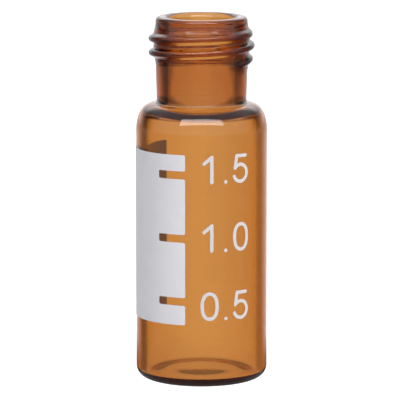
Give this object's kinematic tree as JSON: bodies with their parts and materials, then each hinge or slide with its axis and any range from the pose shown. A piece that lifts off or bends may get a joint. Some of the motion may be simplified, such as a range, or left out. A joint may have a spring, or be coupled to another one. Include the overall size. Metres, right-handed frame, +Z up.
{
  "type": "glass sample vial",
  "caption": "Small amber glass sample vial with a screw-thread neck, wide mouth, rounded shoulder and a white write-on patch with graduations.",
  "frame": {"origin": "centre of the base, on the surface the vial stands on", "axes": "+Z up along the vial's axis, towards the mouth; the front, with the edge of the patch and the graduations, faces -Y"},
  "size_m": [0.0116, 0.0116, 0.0322],
  "materials": {
    "amber_glass": "clear amber glass, fire polished",
    "white_enamel": "matt white fired enamel"
  },
  "bodies": {
    "root": {"vial_glass": "amber_glass", "write_on_patch": "white_enamel"}
  },
  "joints": []
}
